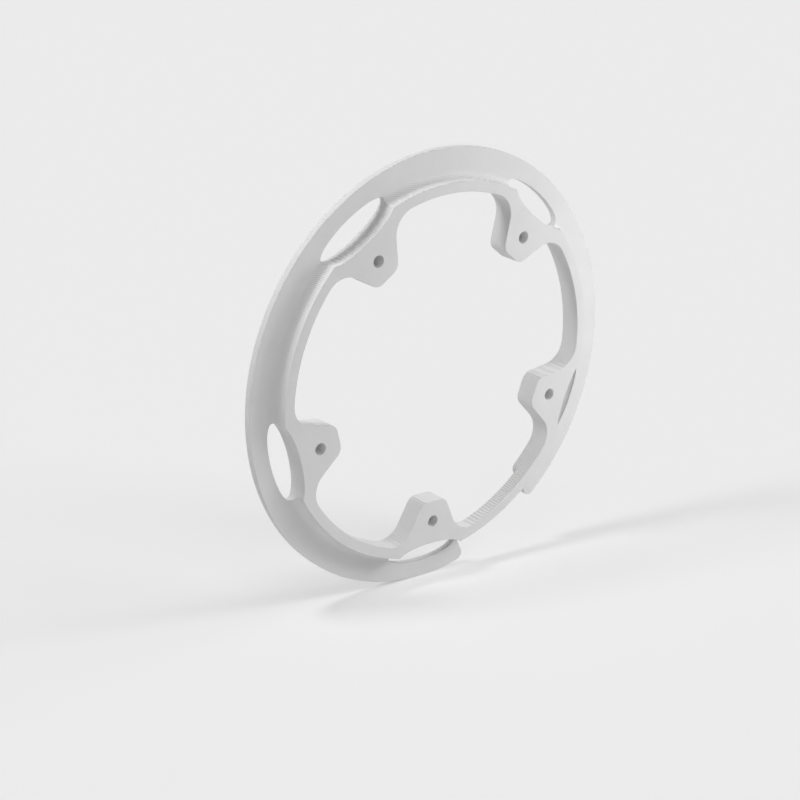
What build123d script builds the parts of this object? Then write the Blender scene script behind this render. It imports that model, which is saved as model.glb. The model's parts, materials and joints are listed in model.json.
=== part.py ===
"""Bicycle chain guard: a flanged ring with inward tabs that bolt to a five-arm crank spider.

The guard is drawn lying on its back face, with its axis along Z and its front towards +Z, and is
then stood up so that its axis lies along Y and its front faces -Y. The origin is the centre of the
bolt circle, on the back face.
"""

from build123d import *

import os
from math import asin, atan2, degrees

# Bolt holes
bolt_count = 5
bolt_circle_diameter = 130.0
bolt_hole_diameter = 5.0
first_bolt_angle = -94.7

# Raised ring, and the thin flange round its back edge
ring_width = 4.5
ring_rise = 6.0
flange_width = 12.5
flange_thickness = 3.0
cove_radius = 3.0

# Tabs, with lengths from the bolt hole in to the tip and out to the ring
tab_tip_length = 9.5
tab_root_length = 10.5
tab_tip_width = 12.0
tab_root_width = 32.0
tab_tip_radius = 5.0
tab_root_radius = 10.0

# Oval windows, one behind each tab, centred on the ring's outer wall
window_length = 36.0
window_width = 10.0

# Gap in the flange, with a thin wall left between it and the first window
gap_width = 40.0
gap_wall = 1.7
gap_corner_radius = 3.0

# Sizes that follow from the ones above
bolt_circle_radius = bolt_circle_diameter / 2
ring_inner_radius = bolt_circle_radius + tab_root_length
ring_outer_radius = ring_inner_radius + ring_width
flange_radius = ring_outer_radius + flange_width
guard_depth = flange_thickness + ring_rise
tab_tip_distance = bolt_circle_radius - tab_tip_length
bolt_angles = [first_bolt_angle + turn * 360 / bolt_count for turn in range(bolt_count)]
window_end = Vector(ring_outer_radius, window_length / 2)
window_end_angle = first_bolt_angle + degrees(atan2(window_end.Y, window_end.X))
gap_direction = window_end_angle + degrees(asin((gap_width / 2 + gap_wall) / window_end.length))
tolerance = 1e-4


def corners_at(outline, distance):
    """Return the outline's corners that lie at a distance from the axis."""
    return outline.vertices().filter_by(lambda corner: abs(Vector(*corner).length - distance) < tolerance)


def tab_blank():
    """Return one tab along +X, with sharp corners, running into the ring."""
    return make_face(
        Polyline(
            (tab_tip_distance, -tab_tip_width / 2),
            (tab_tip_distance, tab_tip_width / 2),
            (ring_inner_radius, tab_root_width / 2),
            (ring_inner_radius, -tab_root_width / 2),
            close=True,
        )
    )


def tabbed_ring(outer_radius):
    """Return the flat outline of a ring with its five tabs, rounded at their tips and roots."""
    outline = Circle(outer_radius) - Circle(ring_inner_radius)
    outline += [Rot(Z=angle) * tab_blank() for angle in bolt_angles]
    tip_corner = Vector(tab_tip_distance, tab_tip_width / 2)
    outline = fillet(corners_at(outline, tip_corner.length), tab_tip_radius)
    return fillet(corners_at(outline, ring_inner_radius), tab_root_radius)


def gap_band():
    """Return the straight band that the gap takes out of the flange, from the tab roots outwards."""
    start = ring_inner_radius - tab_root_radius
    length = flange_radius + gap_corner_radius - start
    return Rot(Z=gap_direction) * Pos(X=start + length / 2) * Rectangle(length, gap_width)


def gap_corners(outline, distance):
    """Return the outline's corners where the gap's sides end at a distance from the axis."""
    across_gap = Vector(0, 1).rotate(Axis.Z, gap_direction)
    return corners_at(outline, distance).filter_by(
        lambda corner: abs(abs(Vector(*corner).dot(across_gap)) - gap_width / 2) < tolerance
    )


def back_plate():
    """Return the thin back layer: flange, ring and tabs, open at the gap and rounded at its free ends."""
    outline = tabbed_ring(flange_radius) - gap_band()
    free_ends = gap_corners(outline, flange_radius) + gap_corners(outline, ring_inner_radius)
    return extrude(fillet(free_ends, gap_corner_radius), flange_thickness)


def raised_ring():
    """Return the front layer: ring and tabs, unbroken across the gap."""
    return Pos(Z=flange_thickness) * extrude(tabbed_ring(ring_outer_radius), ring_rise)


def cove():
    """Return the hollow fillet at the foot of the ring's outer wall, open at the gap."""
    foot = (ring_outer_radius, flange_thickness)
    on_flange = (ring_outer_radius + cove_radius, flange_thickness)
    on_wall = (ring_outer_radius, flange_thickness + cove_radius)
    curve = RadiusArc(on_flange, on_wall, cove_radius)
    section = make_face([Line(foot, on_flange), curve, Line(on_wall, foot)])
    return revolve(Plane.XZ * section, Axis.Z) - extrude(gap_band(), guard_depth)


def windows():
    """Return the cutters for the oval windows."""
    oval = extrude(Ellipse(window_width / 2, window_length / 2), guard_depth)
    return [Rot(Z=angle) * Pos(X=ring_outer_radius) * oval for angle in bolt_angles]


def bolt_holes():
    """Return the cutters for the bolt holes."""
    drill = extrude(Circle(bolt_hole_diameter / 2), guard_depth)
    return [Rot(Z=angle) * Pos(X=bolt_circle_radius) * drill for angle in bolt_angles]


def chain_guard():
    """Return the finished guard, stood up with its front towards -Y."""
    guard = back_plate() + raised_ring() + cove()
    guard -= windows()
    guard -= bolt_holes()
    return Plane.XZ * guard


os.makedirs("parts", exist_ok=True)
export_step(chain_guard(), "parts/chain_guard.step")
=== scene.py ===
"""Bicycle chain guard in white plastic, standing on a pale floor under soft studio light.

The guard's own plane is X-Z, with its front towards -Y. Its outlines are drawn in that plane in
millimetres, as complex numbers x + z*1j, and its depths are measured along Y.
"""

import cmath
import json
import math

import bpy
import numpy as np
from mathutils import Matrix, Vector
from mathutils.geometry import delaunay_2d_cdt


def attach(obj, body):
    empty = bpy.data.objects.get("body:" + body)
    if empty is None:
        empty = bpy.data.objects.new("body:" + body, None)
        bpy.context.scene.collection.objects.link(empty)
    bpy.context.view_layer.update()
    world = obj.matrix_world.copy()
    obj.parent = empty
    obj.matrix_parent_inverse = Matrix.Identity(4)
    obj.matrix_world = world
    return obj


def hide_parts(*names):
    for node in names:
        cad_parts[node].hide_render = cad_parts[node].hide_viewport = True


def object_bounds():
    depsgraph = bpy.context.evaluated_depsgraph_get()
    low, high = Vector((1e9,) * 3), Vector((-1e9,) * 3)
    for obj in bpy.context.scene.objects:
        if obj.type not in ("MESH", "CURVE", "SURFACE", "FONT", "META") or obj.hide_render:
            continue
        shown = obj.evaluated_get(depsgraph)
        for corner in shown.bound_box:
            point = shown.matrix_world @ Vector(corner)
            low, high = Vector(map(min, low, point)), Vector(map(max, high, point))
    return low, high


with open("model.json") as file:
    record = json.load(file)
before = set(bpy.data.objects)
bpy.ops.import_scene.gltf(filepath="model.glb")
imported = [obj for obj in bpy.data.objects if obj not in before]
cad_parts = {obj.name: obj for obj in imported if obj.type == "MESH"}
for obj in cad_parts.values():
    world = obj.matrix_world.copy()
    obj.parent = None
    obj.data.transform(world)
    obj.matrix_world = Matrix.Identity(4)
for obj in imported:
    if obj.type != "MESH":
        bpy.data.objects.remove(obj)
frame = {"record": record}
cad_low, cad_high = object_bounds()

MM = 0.001

# Sizes of the guard in millimetres and degrees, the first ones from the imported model
bolt_circle = next(mount for mount in frame["record"]["mounts"] if mount["name"] == "bolt_circle")
bolt_count = bolt_circle["dims"]["count"]
bolt_circle_radius = bolt_circle["dims"]["pcd_mm"] / 2
bolt_hole_radius = bolt_circle["dims"]["hole_r_mm"]
flange_radius = min(-cad_low[0], -cad_low[2], cad_high[0], cad_high[2]) / MM
guard_depth = (cad_high[1] - cad_low[1]) / MM
first_bolt_angle = -94.7
ring_inner_radius = 75.5
ring_outer_radius = 80.0
flange_thickness = 3.0
cove_radius = 3.0
tab_tip_distance = 55.5
tab_tip_width = 12.0
tab_root_width = 32.0
tab_tip_radius = 5.0
tab_root_radius = 10.0
window_length = 36.0
window_width = 10.0
gap_width = 40.0
gap_wall = 1.7
gap_corner_radius = 3.0

# Small rounding along every outer edge
edge_radius = 0.25
edge_steps = 3

# White plastic: its levels of colour and roughness, and the sizes of its grain and clouds in millimetres
plastic_dark = 0.785
plastic_light = 0.815
plastic_smooth = 0.52
plastic_rough = 0.64
plastic_specular = 0.3
cloud_size = 14.0
cloud_detail = 3.0
cloud_low = 0.3
cloud_high = 0.7
grain_size = 0.35
grain_detail = 2.0
grain_depth = 0.02
grain_strength = 0.15

# Layers that the plastic is built up in, stacked from the first tab upwards, with lengths in millimetres
layer_height = 0.663
layer_relief = 0.7
layer_start = 0.75
relief_falloff = 3.0
# Painted shade and highlight along the layer lines: the largest change of the colour, and the slope factor
# at which it is fullest
painted_layer_shade = 0.15
painted_shade_reach = 3.0

# Fineness of the mesh: degrees between points, points round each small shape, and limits in millimetres
ring_step = 1.0
corner_step = 2.0
window_points = 120
hole_points = 48
cove_steps = 6
weld_distance = 1e-4
depth_digits = 6
points_at_once = 250
sharp_angle = math.radians(50)

# Camera at the photograph's viewpoint, in metres
camera_place = Vector((-0.47494, -0.55292, 0.29644))
camera_right = Vector((0.76928, -0.63891, 0.0)).normalized()
camera_back = Vector((-0.58773, -0.70766, 0.39217)).normalized()
camera_lens = 86.63
camera_near = 0.01

# Plain floor, which the guard leans over by a few degrees, and the level at which it is seen
floor_up = Vector((0.079, 0.095, 0.992)).normalized()
floor_half = 6.0
floor_colour = 0.8
shadow_colour = 0.64
background_level = 0.831

# Lamps, with azimuth from the front towards the right and elevation in degrees, and lengths in metres
aim = Vector((0.0, -0.0045, 0.0))
round_lamps = (
    {"name": "key", "power": 0.93, "azimuth": 54, "elevation": 15, "distance": 0.28, "radius": 0.045},
    {"name": "left", "power": 0.86, "azimuth": 256, "elevation": 54.5, "distance": 0.42, "radius": 0.05},
    {"name": "left_back", "power": 2, "azimuth": 250.5, "elevation": 54.5, "distance": 0.42, "radius": 0.05},
)
wide_lamps = (
    {"name": "front_fill", "azimuth": 0, "elevation": 40, "spread": 70, "strength": 0.12},
    {"name": "right_fill", "azimuth": 45, "elevation": 40, "spread": 36, "strength": 0.65},
    {"name": "low_right_fill", "azimuth": 75, "elevation": 25, "spread": 36, "strength": 0.48},
    {"name": "back_fill", "azimuth": 150, "elevation": 40, "spread": 70, "strength": 0.33},
    {"name": "left_fill", "azimuth": -60, "elevation": 40, "spread": 70, "strength": 0.49},
    {"name": "top_fill", "azimuth": 0, "elevation": 70, "spread": 36, "strength": 0.14},
)


def turn(degrees):
    """Return the unit complex number at an angle."""
    return cmath.exp(1j * math.radians(degrees))


def angle_of(point):
    """Return the angle of a point round the axis, in degrees."""
    return math.degrees(cmath.phase(point))


def arc(centre, radius, start, end, step):
    """Return points along an arc from one angle to another, both ends included."""
    count = max(2, math.ceil(abs(end - start) / step) + 1)
    return [centre + radius * turn(angle) for angle in np.linspace(start, end, count)]


def circle(centre, radius, count):
    """Return evenly spaced points round a circle."""
    return [centre + radius * turn(360 * k / count) for k in range(count)]


def axis_circle(radius):
    """Return points round a circle about the guard's axis."""
    return circle(0, radius, round(360 / ring_step))


def oval(direction):
    """Return the outline of the oval window in a direction from the axis."""
    steps = circle(0, 1, window_points)
    half = complex(window_width, window_length) / 2
    return [direction * complex(ring_outer_radius + half.real * s.real, half.imag * s.imag) for s in steps]


def moved_out(outline, distance):
    """Return a closed outline moved to the right of its direction of travel."""
    outline = np.array(outline)
    travel = np.roll(outline, -1) - np.roll(outline, 1)
    return list(outline - 1j * travel / abs(travel) * distance)


bolt_angles = [first_bolt_angle + 360 * k / bolt_count for k in range(bolt_count)]
bolt_places = [bolt_circle_radius * turn(angle) for angle in bolt_angles]
window_end = complex(ring_outer_radius, window_length / 2)
gap_half_angle = math.degrees(math.asin((gap_width / 2 + gap_wall) / abs(window_end)))
gap_angle = first_bolt_angle + angle_of(window_end) + gap_half_angle


def tab_side():
    """Return one side of a tab that points along +X, from its tip out to the ring."""
    tip = complex(tab_tip_distance, tab_tip_width / 2)
    root = complex(ring_inner_radius, tab_root_width / 2)
    along = (root - tip) / abs(root - tip)
    outward = along * 1j
    tip_inset = tab_tip_radius * (1 + outward.real) / outward.imag
    tip_centre = complex(tab_tip_distance + tab_tip_radius, tip.imag - tip_inset)
    start = tip + outward * tab_root_radius
    lead = (start * along.conjugate()).real
    reach = ring_inner_radius - tab_root_radius
    root_centre = start + along * (math.sqrt(lead**2 - abs(start)**2 + reach**2) - lead)
    tip_round = arc(tip_centre, tab_tip_radius, 180, angle_of(outward), corner_step)
    root_round = arc(root_centre, tab_root_radius, angle_of(-outward), angle_of(root_centre), corner_step)
    return tip_round + root_round


def inner_outline():
    """Return the outline of the open middle, round the five tabs."""
    side = tab_side()
    tab = [point.conjugate() for point in reversed(side)] + side
    root_angle = angle_of(side[-1])
    outline = []
    for bolt_angle in bolt_angles:
        outline += [point * turn(bolt_angle) for point in tab]
        start = bolt_angle + root_angle
        end = bolt_angle + 360 / bolt_count - root_angle
        outline += arc(0, ring_inner_radius, start, end, ring_step)[1:-1]
    return outline


def gap_outline():
    """Return the outline of the gap, with its free ends rounded."""
    half = gap_width / 2
    inset = half + gap_corner_radius
    rim_centre = complex(math.sqrt((flange_radius - gap_corner_radius)**2 - inset**2), inset)
    ring_centre = complex(math.sqrt((ring_inner_radius + gap_corner_radius)**2 - inset**2), inset)
    start = ring_inner_radius - tab_root_radius
    end = flange_radius + gap_corner_radius
    near_rim = arc(rim_centre.conjugate(), gap_corner_radius, 90, -angle_of(rim_centre), corner_step)
    far_rim = arc(rim_centre, gap_corner_radius, angle_of(rim_centre), -90, corner_step)
    far_ring = arc(ring_centre, gap_corner_radius, -90, angle_of(-ring_centre), corner_step)
    outline = [complex(start, -half)] + near_rim
    outline += [complex(end, near_rim[-1].imag), complex(end, far_rim[0].imag)]
    outline += far_rim + far_ring + [complex(start, far_ring[-1].imag)]
    return [point * turn(gap_angle) for point in outline]


# Every outline of the guard, by the shape it belongs to
outlines = {
    "middle": [inner_outline()],
    "window": [oval(turn(angle)) for angle in bolt_angles],
    "hole": [circle(place, bolt_hole_radius, hole_points) for place in bolt_places],
    "gap": [gap_outline()],
    "ring": [axis_circle(ring_outer_radius)],
    "rim": [axis_circle(flange_radius)],
}


def helper_loops():
    """Return the loops that carry the small roundings and the cove between the outlines."""
    loops = []
    for k in range(1, edge_steps + 1):
        inset = edge_radius * (1 - math.cos(math.radians(90 * k / edge_steps)))
        for name in ("middle", "window", "hole", "gap"):
            loops += [moved_out(outline, inset) for outline in outlines[name]]
        loops += [axis_circle(radius - inset) for radius in (ring_outer_radius, flange_radius)]
    for k in range(1, cove_steps + 1):
        swing = math.cos(math.radians(90 * k / cove_steps))
        loops.append(axis_circle(ring_outer_radius + cove_radius * (1 - swing)))
    return loops


def triangulate():
    """Return the flat layout: its points, its triangles and the shapes that each triangle lies in."""
    points = []
    faces = []
    edges = []
    names = []
    for name, loops in outlines.items():
        for loop in loops:
            faces.append(list(range(len(points), len(points) + len(loop))))
            names.append(name)
            points += loop
    for loop in helper_loops():
        first = len(points)
        points += loop
        edges += [(first + k, first + (k + 1) % len(loop)) for k in range(len(loop))]
    flat = [Vector((point.real, point.imag)) for point in points]
    all_triangles = 0
    places, _, triangles, _, _, sources = delaunay_2d_cdt(flat, edges, faces, all_triangles, weld_distance)
    layout = np.array([complex(place.x, place.y) for place in places])
    return layout, triangles, [{names[k] for k in inside} for inside in sources]


def region_of(shapes):
    """Return which part of the guard lies at a place, or None where it is open."""
    if shapes & {"middle", "window", "hole"} or "rim" not in shapes:
        return None
    if "ring" in shapes:
        return "bridge" if "gap" in shapes else "ring"
    return None if "gap" in shapes else "flange"


def distance_to(points, names):
    """Return how far each point is from the nearest of some outlines."""
    outline = np.concatenate([loop for name in names for loop in outlines[name]])
    step = np.concatenate([np.roll(loop, -1) - loop for name in names for loop in outlines[name]])
    nearest = []
    for some in np.array_split(points, math.ceil(len(points) / points_at_once)):
        offset = some[:, None] - outline
        share = np.clip((offset * step.conjugate()).real / abs(step)**2, 0, 1)
        nearest.append(abs(offset - share * step).min(axis=1))
    return np.concatenate(nearest)


def rounding(points, *names):
    """Return how far the surface drops at each point for the rounded edges along some outlines."""
    inset = edge_radius - np.minimum(distance_to(points, names), edge_radius)
    return edge_radius - np.sqrt(edge_radius**2 - inset**2)


def guard_mesh():
    """Return the guard as one closed mesh."""
    layout, triangles, shapes = triangulate()
    regions = [region_of(inside) for inside in shapes]
    cove_run = np.clip((ring_outer_radius + cove_radius - abs(layout)) / cove_radius, 0, 1)
    cove = cove_radius * (1 - np.sqrt(1 - cove_run**2))
    ring_front = -guard_depth + rounding(layout, "middle", "window", "hole", "ring")
    plain_back = -rounding(layout, "middle", "window", "hole", "rim", "gap")
    depths = {
        ("ring", "front"): ring_front,
        ("bridge", "front"): ring_front,
        ("flange", "front"): -flange_thickness - cove + rounding(layout, "window", "rim", "gap"),
        ("ring", "back"): plain_back,
        ("flange", "back"): plain_back,
        ("bridge", "back"): -flange_thickness - rounding(layout, "middle", "ring"),
    }
    vertices = []
    levels = [{} for point in layout]

    def depth_at(k, side):
        """Return the depth at a point of the layout on one side of a region."""
        return round(float(depths[side][k]), depth_digits)

    def vertex(k, side):
        """Return the mesh vertex at a point of the layout on one side of a region, made once."""
        depth = depth_at(k, side)
        if depth not in levels[k]:
            levels[k][depth] = len(vertices)
            vertices.append((layout[k].real * MM, depth * MM, layout[k].imag * MM))
        return levels[k][depth]

    faces = []
    across = {}
    for triangle, region in zip(triangles, regions):
        if region:
            faces.append([vertex(k, (region, "front")) for k in triangle])
            faces.append([vertex(k, (region, "back")) for k in reversed(triangle)])
        for edge in zip(triangle, triangle[1:] + triangle[:1]):
            across[edge] = region

    def column(k, front, back):
        """Return the mesh vertices at a point of the layout between two sides, front to back."""
        low = depth_at(k, front)
        high = depth_at(k, back)
        return [levels[k][depth] for depth in sorted(levels[k]) if low <= depth <= high]

    for (a, b), region in across.items():
        other = across.get((b, a))
        if region is None or other == region:
            continue
        front = (region, "front")
        back = (region, "back")
        spans = [(front, back)]
        if other:
            spans = [(front, (other, "front")), ((other, "back"), back)]
        for near, far in spans:
            if all(depths[near][k] < depths[far][k] - weld_distance for k in (a, b)):
                faces.append(column(a, near, far) + column(b, near, far)[::-1])

    mesh = bpy.data.meshes.new("chain_guard_body")
    mesh.from_pydata(vertices, [], faces)
    mesh.validate()
    mesh.shade_smooth()
    mesh.set_sharp_from_angle(angle=sharp_angle)
    return mesh


def calculate(tree, kind, operation, *values):
    """Return a new node for a calculation with sockets and plain values."""
    node = tree.nodes.new(kind)
    node.operation = operation
    for socket, value in zip(node.inputs, values):
        if isinstance(value, bpy.types.NodeSocket):
            tree.links.new(value, socket)
        else:
            socket.default_value = value
    return node


def maths(tree, operation, *values):
    """Return the result socket of a calculation with numbers."""
    return calculate(tree, "ShaderNodeMath", operation, *values).outputs["Value"]


def vector_maths(tree, operation, *values):
    """Return the result socket of a calculation with vectors."""
    node = calculate(tree, "ShaderNodeVectorMath", operation, *values)
    return node.outputs["Value" if operation in ("LENGTH", "DOT_PRODUCT") else "Vector"]


def layer_lines(tree, place):
    """Return sockets with the height of the layer lines and their painted shade, on walls that face upwards.

    The height fades as a power of the wall's slope. The painted shade darkens the colour midway up the rise
    of each layer and lightens it midway down, standing in for light and shade on the steps, and fades on
    upright walls and on flat tops.
    """
    stack = -turn(first_bolt_angle)
    upwards = (stack.real, 0, stack.imag)
    slope = maths(tree, "MAXIMUM", vector_maths(tree, "DOT_PRODUCT", place.outputs["Normal"], upwards), 0)
    level = vector_maths(tree, "DOT_PRODUCT", place.outputs["Object"], upwards)
    layers = maths(tree, "MULTIPLY_ADD", level, 1 / (layer_height * MM), layer_start)
    half = 1 / 2
    quarter = 1 / 4
    step = maths(tree, "PINGPONG", layers, half)
    height = maths(tree, "MULTIPLY", step, maths(tree, "POWER", slope, relief_falloff))
    # Painted shade and highlight, darkest midway up each rise and lightest midway down
    swing = maths(tree, "PINGPONG", maths(tree, "SUBTRACT", layers, quarter), half)
    swing = maths(tree, "SUBTRACT", swing, quarter)
    steep = maths(tree, "SUBTRACT", 1, maths(tree, "MULTIPLY", slope, slope))
    reach = maths(tree, "MINIMUM", maths(tree, "MULTIPLY", slope, painted_shade_reach), 1)
    painted_shade_wave = maths(tree, "MULTIPLY", swing, maths(tree, "MULTIPLY", reach, steep))
    shade = maths(tree, "MULTIPLY_ADD", painted_shade_wave, painted_layer_shade / quarter, 1)
    return height, shade


def plastic_material():
    """Return matte white plastic with a fine grain, in thin layers with painted shade along them."""
    material = bpy.data.materials.new("white_plastic")
    material.use_nodes = True
    nodes = material.node_tree.nodes
    link = material.node_tree.links.new
    shader = nodes["Principled BSDF"]
    shader.inputs["Specular IOR Level"].default_value = plastic_specular
    place = nodes.new("ShaderNodeTexCoord")

    def noise(size, detail):
        """Return a noise texture with features of about one size in millimetres."""
        node = nodes.new("ShaderNodeTexNoise")
        node.inputs["Scale"].default_value = 1 / (size * MM)
        node.inputs["Detail"].default_value = detail
        link(place.outputs["Object"], node.inputs["Vector"])
        return node

    grain = noise(grain_size, grain_detail)
    cloud = noise(cloud_size, cloud_detail)
    tint = nodes.new("ShaderNodeValToRGB")
    ends = ((cloud_low, plastic_dark), (cloud_high, plastic_light))
    for element, (position, level) in zip(tint.color_ramp.elements, ends):
        element.position = position
        element.color = (level, level, level, 1)
    link(cloud.outputs["Fac"], tint.inputs["Fac"])
    height, shade = layer_lines(material.node_tree, place)
    # Base colour darkened and lightened by the painted shade and highlight of the layer lines
    tint_with_painted_shade = nodes.new("ShaderNodeVectorMath")
    tint_with_painted_shade.operation = "SCALE"
    link(tint.outputs["Color"], tint_with_painted_shade.inputs["Vector"])
    link(shade, tint_with_painted_shade.inputs["Scale"])
    link(tint_with_painted_shade.outputs["Vector"], shader.inputs["Base Color"])
    gloss = nodes.new("ShaderNodeMapRange")
    gloss.inputs["To Min"].default_value = plastic_smooth
    gloss.inputs["To Max"].default_value = plastic_rough
    link(grain.outputs["Fac"], gloss.inputs["Value"])
    link(gloss.outputs["Result"], shader.inputs["Roughness"])
    bump = nodes.new("ShaderNodeBump")
    bump.inputs["Strength"].default_value = grain_strength
    bump.inputs["Distance"].default_value = grain_depth * MM
    link(grain.outputs["Fac"], bump.inputs["Height"])
    steps = nodes.new("ShaderNodeBump")
    steps.inputs["Distance"].default_value = layer_relief * MM
    link(height, steps.inputs["Height"])
    link(bump.outputs["Normal"], steps.inputs["Normal"])
    link(steps.outputs["Normal"], shader.inputs["Normal"])
    return material


def add_object(name, data):
    """Add an object to the scene and return it."""
    item = bpy.data.objects.new(name, data)
    bpy.context.scene.collection.objects.link(item)
    return item


def add_guard():
    """Add the guard in place of the solid and return it."""
    guard = add_object("chain_guard_body", guard_mesh())
    guard.data.materials.append(plastic_material())
    even_shading = guard.modifiers.new("even_shading", "WEIGHTED_NORMAL")
    even_shading.keep_sharp = True
    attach(guard, "root")
    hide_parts("chain_guard")
    return guard


def direction(azimuth, elevation):
    """Return the unit vector towards a lamp."""
    level = math.cos(math.radians(elevation))
    across = math.radians(azimuth)
    return Vector((math.sin(across) * level, -math.cos(across) * level, math.sin(math.radians(elevation))))


def place_of(lamp):
    """Return where a round lamp stands."""
    return aim + direction(lamp["azimuth"], lamp["elevation"]) * lamp["distance"]


def add_round_lamp(lamp):
    """Add a soft round lamp."""
    data = bpy.data.lights.new(lamp["name"], "POINT")
    data.energy = lamp["power"]
    data.shadow_soft_size = lamp["radius"]
    item = add_object(lamp["name"], data)
    item.location = place_of(lamp)
    item.visible_camera = False


def add_wide_lamp(lamp):
    """Add a broad soft light from one side, the same everywhere."""
    data = bpy.data.lights.new(lamp["name"], "SUN")
    data.energy = lamp["strength"]
    data.angle = math.radians(lamp["spread"])
    item = add_object(lamp["name"], data)
    item.rotation_mode = "QUATERNION"
    item.rotation_quaternion = direction(lamp["azimuth"], lamp["elevation"]).to_track_quat("Z", "Y")


def seen_directly(tree):
    """Return a socket that is 1 for what the camera sees, also in a mirror or through glass."""
    path = tree.nodes.new("ShaderNodeLightPath")
    total = path.outputs["Is Camera Ray"]
    for name in ("Is Glossy Ray", "Is Transmission Ray"):
        total = maths(tree, "MAXIMUM", total, path.outputs[name])
    return total


def light_on_floor(tree):
    """Return a socket with the light that an open, perfectly white floor would send back."""
    place = tree.nodes.new("ShaderNodeNewGeometry").outputs["Position"]
    total = 0.0
    for lamp in wide_lamps:
        slope = direction(lamp["azimuth"], lamp["elevation"]).dot(floor_up)
        total += lamp["strength"] * slope / math.pi
    for lamp in round_lamps:
        offset = vector_maths(tree, "SUBTRACT", place, place_of(lamp))
        height = vector_maths(tree, "DOT_PRODUCT", offset, -floor_up)
        distance = vector_maths(tree, "LENGTH", offset)
        to_edge = maths(tree, "MULTIPLY_ADD", distance, distance, lamp["radius"]**2)
        spread = maths(tree, "DIVIDE", height, maths(tree, "MULTIPLY", distance, to_edge))
        total = maths(tree, "MULTIPLY_ADD", spread, lamp["power"] / (4 * math.pi**2), total)
    return total


def floor_material():
    """Return a pale floor that is seen at one even level, darker only where the guard shades it."""
    material = bpy.data.materials.new("floor")
    material.use_nodes = True
    tree = material.node_tree
    nodes = tree.nodes
    nodes.remove(nodes["Principled BSDF"])
    plain = nodes.new("ShaderNodeBsdfDiffuse")
    plain.inputs["Color"].default_value = (floor_colour, floor_colour, floor_colour, 1)
    light = light_on_floor(tree)
    shade = maths(tree, "MINIMUM", maths(tree, "DIVIDE", background_level, light), shadow_colour)
    shaded = nodes.new("ShaderNodeBsdfDiffuse")
    tree.links.new(shade, shaded.inputs["Color"])
    glow = nodes.new("ShaderNodeEmission")
    lit = maths(tree, "MULTIPLY", light, shade)
    tree.links.new(maths(tree, "SUBTRACT", background_level, lit), glow.inputs["Strength"])
    even = nodes.new("ShaderNodeAddShader")
    tree.links.new(shaded.outputs["BSDF"], even.inputs[0])
    tree.links.new(glow.outputs["Emission"], even.inputs[1])
    choice = nodes.new("ShaderNodeMixShader")
    tree.links.new(seen_directly(tree), choice.inputs["Fac"])
    tree.links.new(plain.outputs["BSDF"], choice.inputs[1])
    tree.links.new(even.outputs["Shader"], choice.inputs[2])
    tree.links.new(choice.outputs["Shader"], nodes["Material Output"].inputs["Surface"])
    return material


def add_floor(guard):
    """Add the floor under the guard's lowest point."""
    mesh = bpy.data.meshes.new("floor")
    corners = ((-1, -1), (1, -1), (1, 1), (-1, 1))
    mesh.from_pydata([(x * floor_half, y * floor_half, 0) for x, y in corners], [], [(0, 1, 2, 3)])
    mesh.materials.append(floor_material())
    floor = add_object("floor", mesh)
    lowest = min(floor_up.dot(vertex.co) for vertex in guard.data.vertices)
    tilt = floor_up.to_track_quat("Z", "Y").to_matrix().to_4x4()
    floor.matrix_world = Matrix.Translation(floor_up * lowest) @ tilt


def add_camera():
    """Add the camera."""
    data = bpy.data.cameras.new("camera")
    data.lens = camera_lens
    data.clip_start = camera_near
    camera = add_object("camera", data)
    axes = Matrix((camera_right, camera_back.cross(camera_right), camera_back)).transposed()
    camera.matrix_world = Matrix.Translation(camera_place) @ axes.to_4x4()
    bpy.context.scene.camera = camera


def set_world():
    """Set a background that is seen at the floor's level and lights nothing."""
    world = bpy.data.worlds.new("world")
    world.use_nodes = True
    bpy.context.scene.world = world
    background = world.node_tree.nodes["Background"]
    background.inputs["Color"].default_value = (background_level, background_level, background_level, 1)
    world.node_tree.links.new(seen_directly(world.node_tree), background.inputs["Strength"])


add_floor(add_guard())
add_camera()
for lamp in round_lamps:
    add_round_lamp(lamp)
for lamp in wide_lamps:
    add_wide_lamp(lamp)
set_world()
bpy.context.scene.view_settings.view_transform = "Standard"
